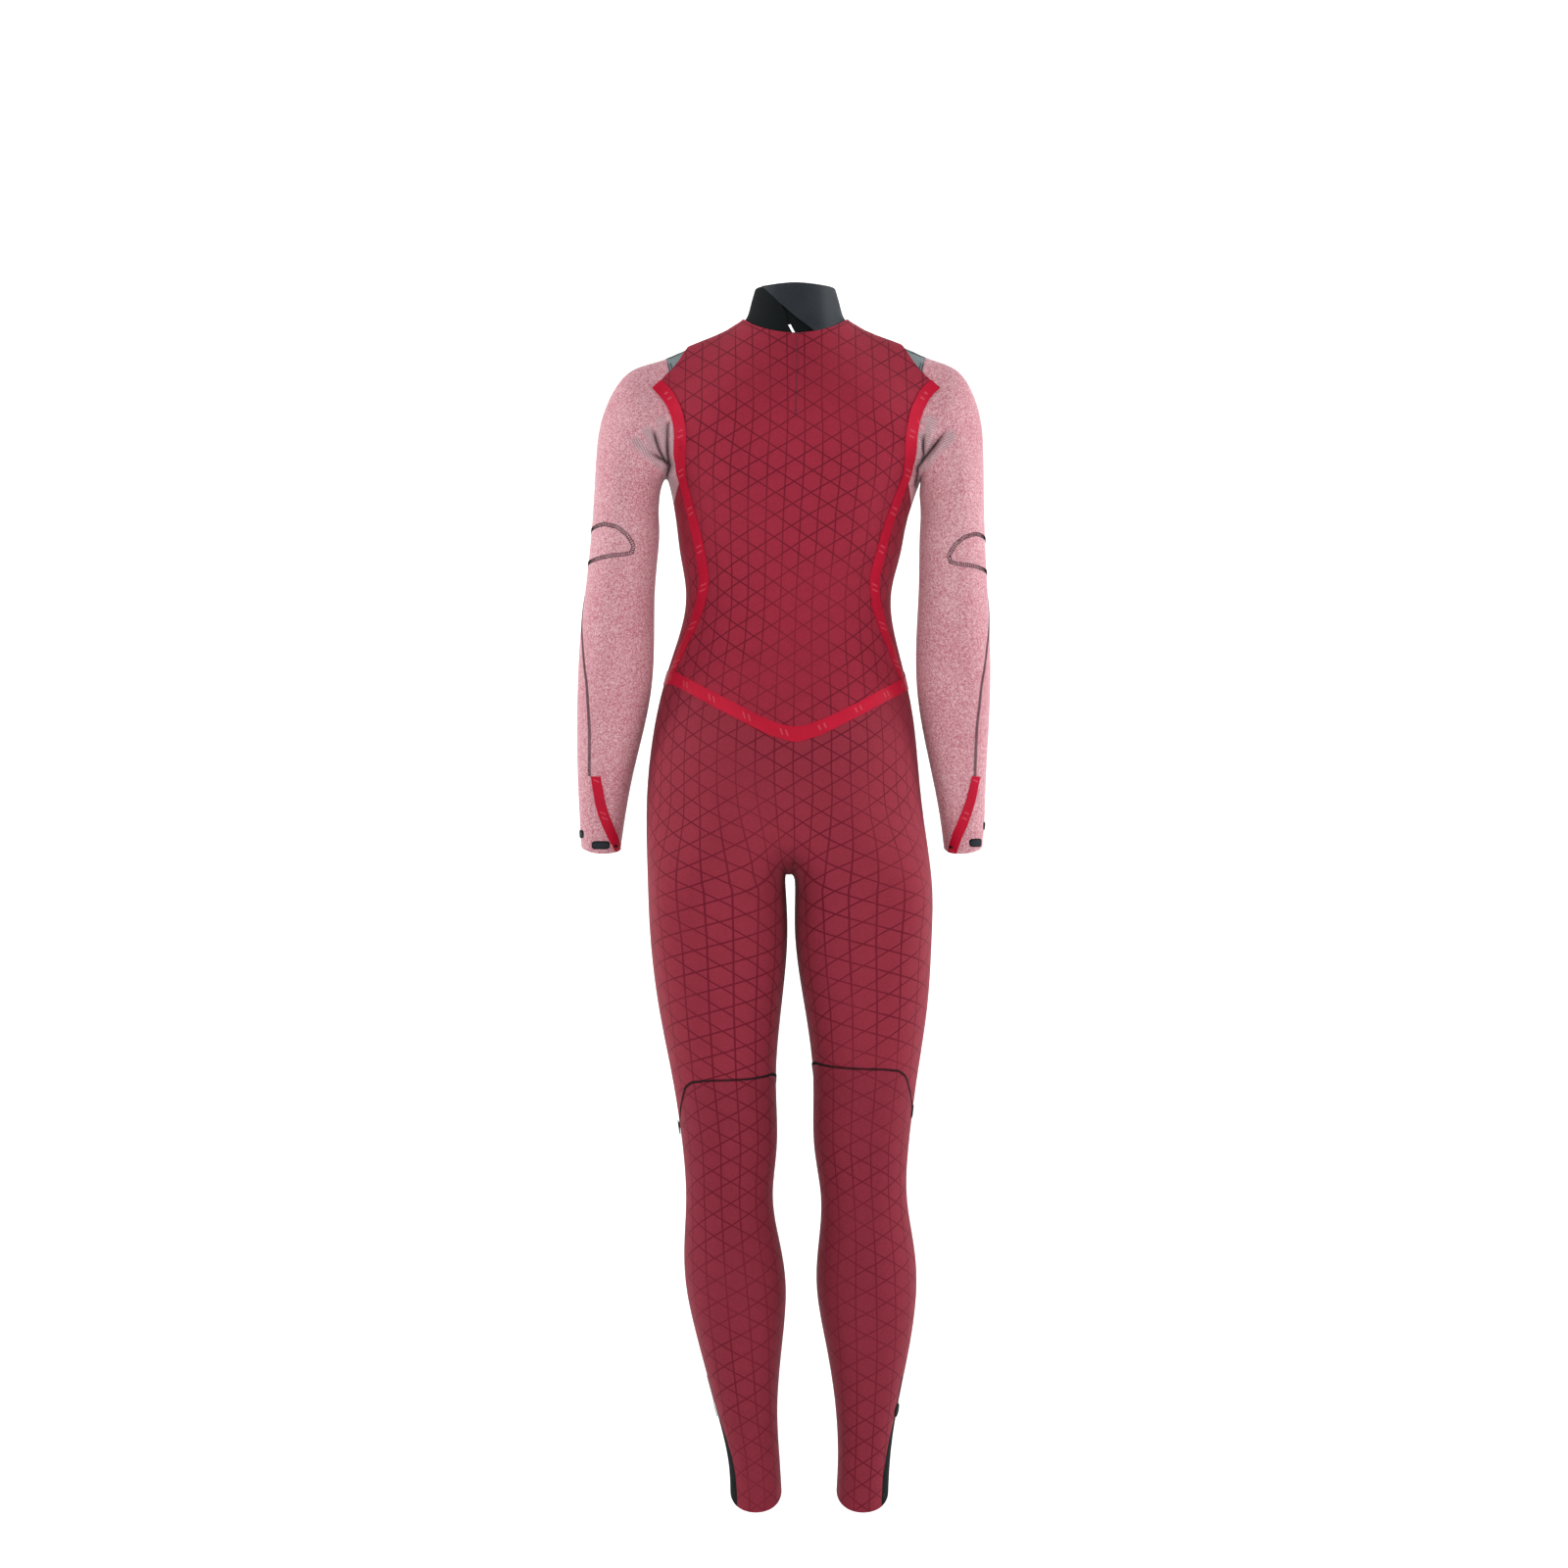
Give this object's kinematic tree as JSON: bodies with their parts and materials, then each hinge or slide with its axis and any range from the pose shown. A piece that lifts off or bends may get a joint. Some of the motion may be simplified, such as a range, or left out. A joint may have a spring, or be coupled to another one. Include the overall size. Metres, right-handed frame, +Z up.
{
  "type": "back-zip wetsuit",
  "caption": "Full-length back-zip neoprene wetsuit turned inside out: hollow body, sleeves and legs, lapped collar, taped seams, filled out as worn.",
  "frame": {"origin": "middle of the neck opening's base, where the garment is held", "axes": "+Z up along the garment, +X to its right as seen from behind, -Y out of its back"},
  "size_m": [0.476, 0.2314, 1.4046],
  "materials": {
    "red_lining": "matt knitted lining with a tone-on-tone lattice",
    "dark_red_lining": "matt knitted lining with a tone-on-tone lattice",
    "heather_lining": "matt brushed knit, flecked",
    "black_neoprene": "matt",
    "smooth_skin": "satin smooth skin",
    "grey_jersey": "matt jersey",
    "red_tape": "smooth bonded seam tape",
    "zip_plastic": "matt"
  },
  "bodies": {
    "root": {"ankle_dot_left": "black_neoprene", "ankle_dot_right": "black_neoprene", "ankle_panel_left": "black_neoprene", "ankle_panel_right": "black_neoprene", "back_inner_panel": "red_lining", "collar_inner_flap": "black_neoprene", "collar_left_band": "black_neoprene", "collar_over_flap": "smooth_skin", "elbow_panel_left": "heather_lining", "elbow_panel_right": "heather_lining", "front_panel": "red_lining", "hip_tape": "red_tape", "knee_dot_left": "black_neoprene", "knee_dot_right": "black_neoprene", "lower_leg_left": "dark_red_lining", "lower_leg_right": "dark_red_lining", "outer_back_left": "black_neoprene", "outer_back_right": "black_neoprene", "princess_tape_left": "red_tape", "princess_tape_right": "red_tape", "seat_thighs": "dark_red_lining", "shoulder_tab_left": "black_neoprene", "shoulder_tab_right": "black_neoprene", "sleeve_left": "heather_lining", "sleeve_right": "heather_lining", "wrist_tape_left": "red_tape", "wrist_tape_right": "red_tape", "yoke_left": "grey_jersey", "yoke_right": "grey_jersey", "zip_chain": "zip_plastic", "zip_slider": "zip_plastic", "zip_tape_left": "zip_plastic", "zip_tape_right": "zip_plastic"}
  },
  "joints": []
}
